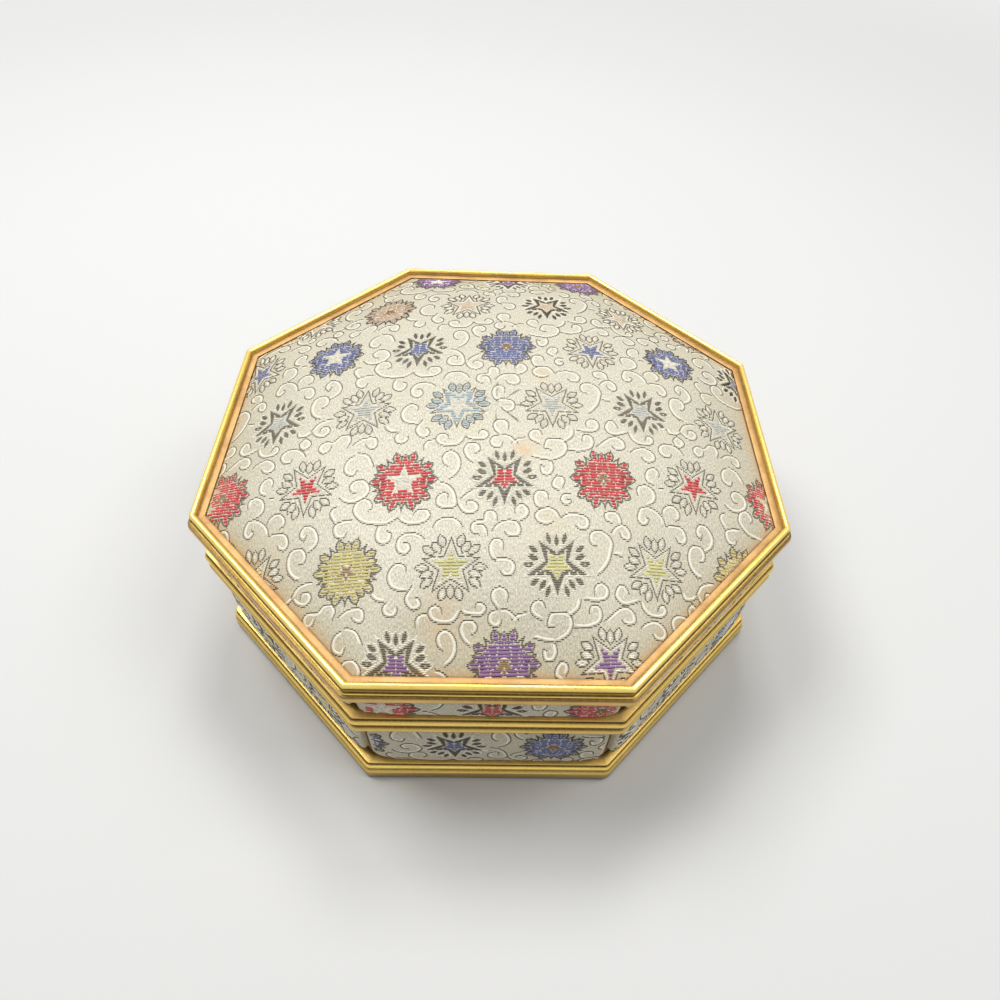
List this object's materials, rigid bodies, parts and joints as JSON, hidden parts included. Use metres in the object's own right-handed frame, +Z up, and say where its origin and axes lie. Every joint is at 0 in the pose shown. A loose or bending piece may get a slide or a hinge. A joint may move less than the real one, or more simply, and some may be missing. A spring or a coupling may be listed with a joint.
{
  "type": "brocade keepsake box",
  "caption": "Octagonal keepsake box covered in padded star-and-scroll brocade, with moulded brass trims, a domed cushion lid on a rear hinge and a satin-lined inside.",
  "frame": {"origin": "on the table, under the middle of the octagon: the underside of the felt", "axes": "+Z up, front towards -Y, hinge at the back towards +Y, +X to the right seen from the front"},
  "size_m": [0.1532, 0.1561, 0.0633],
  "materials": {
    "board": "raw thin board",
    "card": "raw grey board",
    "wadding": "cotton wadding",
    "brocade": "silver-cream satin brocade",
    "moulding_brass": "polished and lacquered",
    "hinge_brass": "plain brass, lightly tarnished",
    "felt": "wool felt",
    "satin": "gold satin lining"
  },
  "bodies": {
    "base": {"base_floor_board": "board", "base_wall": "board", "base_panel_wadding": "wadding", "base_panel_brocade": "brocade", "base_foot_moulding": "moulding_brass", "base_upper_moulding": "moulding_brass", "base_felt": "felt", "base_wall_lining": "satin", "base_floor_card": "card", "base_floor_pad": "satin", "hinge_base_leaf": "hinge_brass", "hinge_base_screws": "hinge_brass", "hinge_pin": "hinge_brass"},
    "lid": {"lid_wall": "board", "lid_top_board": "board", "lid_panel_wadding": "wadding", "lid_panel_brocade": "brocade", "lid_lower_moulding": "moulding_brass", "lid_rim_moulding": "moulding_brass", "lid_cushion_wadding": "wadding", "lid_cushion_brocade": "brocade", "lid_wall_lining": "satin", "lid_ceiling_card": "card", "lid_ceiling_pad": "satin", "hinge_lid_leaf": "hinge_brass", "hinge_lid_screws": "hinge_brass"}
  },
  "joints": [
    {"name": "lid_hinge", "type": "hinge", "parent": "base", "child": "lid", "pos_m": [0, 0.0779, 0.0335], "axis": [-1, 0, 0], "range_deg": [0, 100]}
  ]
}
